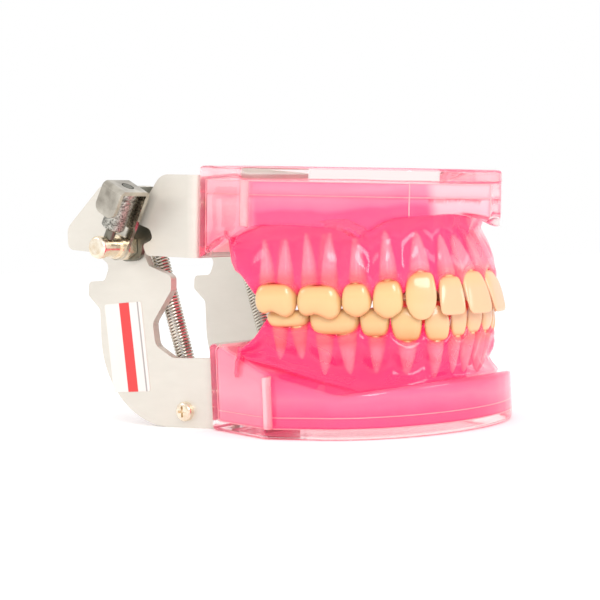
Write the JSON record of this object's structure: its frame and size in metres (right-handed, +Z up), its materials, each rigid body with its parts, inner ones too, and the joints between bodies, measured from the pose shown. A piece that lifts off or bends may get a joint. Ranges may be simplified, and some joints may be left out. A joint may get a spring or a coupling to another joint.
{
  "type": "typodont model",
  "caption": "Dental typodont: clear pink jaws with ivory teeth and visible roots on a sheet-metal articulator that opens on hinge bolts against tension springs.",
  "frame": {"origin": "middle of the foot print, on the surface that the model stands on", "axes": "+Z up, the front teeth face -Y, the patient's right side is at -X"},
  "size_m": [0.071, 0.111, 0.061],
  "materials": {
    "clear_acrylic": "polished clear, pale pink",
    "gum_acrylic": "polished translucent pink",
    "tooth": "glossy ivory",
    "frame_sheet": "satin off-white",
    "dark_steel": "burnished dark",
    "bright_steel": "nickel plated",
    "knurled_steel": "knurled, nickel plated",
    "spring_steel": "bright spring wire",
    "label_paper": "satin paper label, blank"
  },
  "bodies": {
    "lower_jaw": {"hinge_bolts": "bright_steel", "hinge_nuts": "bright_steel", "hinge_sleeves": "bright_steel", "hinge_washers": "bright_steel", "left_spring": "spring_steel", "left_strap": "bright_steel", "lower_base": "clear_acrylic", "lower_base_screws": "bright_steel", "lower_frame": "frame_sheet", "lower_gum": "gum_acrylic", "lower_left_canine": "tooth", "lower_left_central_incisor": "tooth", "lower_left_first_molar": "tooth", "lower_left_first_premolar": "tooth", "lower_left_lateral_incisor": "tooth", "lower_left_second_molar": "tooth", "lower_left_second_premolar": "tooth", "lower_right_canine": "tooth", "lower_right_central_incisor": "tooth", "lower_right_first_molar": "tooth", "lower_right_first_premolar": "tooth", "lower_right_lateral_incisor": "tooth", "lower_right_second_molar": "tooth", "lower_right_second_premolar": "tooth", "right_spring": "spring_steel", "right_strap": "bright_steel", "side_label": "label_paper", "spring_screw_nuts": "bright_steel", "spring_screws": "bright_steel"},
    "upper_jaw": {"upper_frame": "frame_sheet", "upper_base": "clear_acrylic", "upper_gum": "gum_acrylic", "upper_base_screws": "bright_steel", "right_hinge_arm": "dark_steel", "left_hinge_arm": "dark_steel", "spring_pins": "bright_steel", "upper_left_canine": "tooth", "upper_left_central_incisor": "tooth", "upper_left_first_molar": "tooth", "upper_left_first_premolar": "tooth", "upper_left_lateral_incisor": "tooth", "upper_left_second_molar": "tooth", "upper_left_second_premolar": "tooth", "upper_right_canine": "tooth", "upper_right_central_incisor": "tooth", "upper_right_first_molar": "tooth", "upper_right_first_premolar": "tooth", "upper_right_lateral_incisor": "tooth", "upper_right_second_molar": "tooth", "upper_right_second_premolar": "tooth"},
    "right_knurled_nut": {"right_knurled_nut": "knurled_steel", "right_stud": "bright_steel"},
    "left_knurled_nut": {"left_knurled_nut": "knurled_steel", "left_stud": "bright_steel"}
  },
  "joints": [
    {"name": "jaw_hinge", "type": "hinge", "parent": "lower_jaw", "child": "upper_jaw", "pos_m": [0, 0.03414, 0.0432], "axis": [-1, 0, 0], "range_deg": [0, 62], "deforming": ["right_spring", "left_spring"]},
    {"name": "right_nut_turn", "type": "hinge", "parent": "lower_jaw", "child": "right_knurled_nut", "pos_m": [-0.03045, 0.03414, 0.0432], "axis": [0, -0.4955, 0.8686], "range_deg": [0, 1080]},
    {"name": "left_nut_turn", "type": "hinge", "parent": "lower_jaw", "child": "left_knurled_nut", "pos_m": [0.03045, 0.03414, 0.0432], "axis": [0, -0.4955, 0.8686], "range_deg": [0, 1080]}
  ]
}
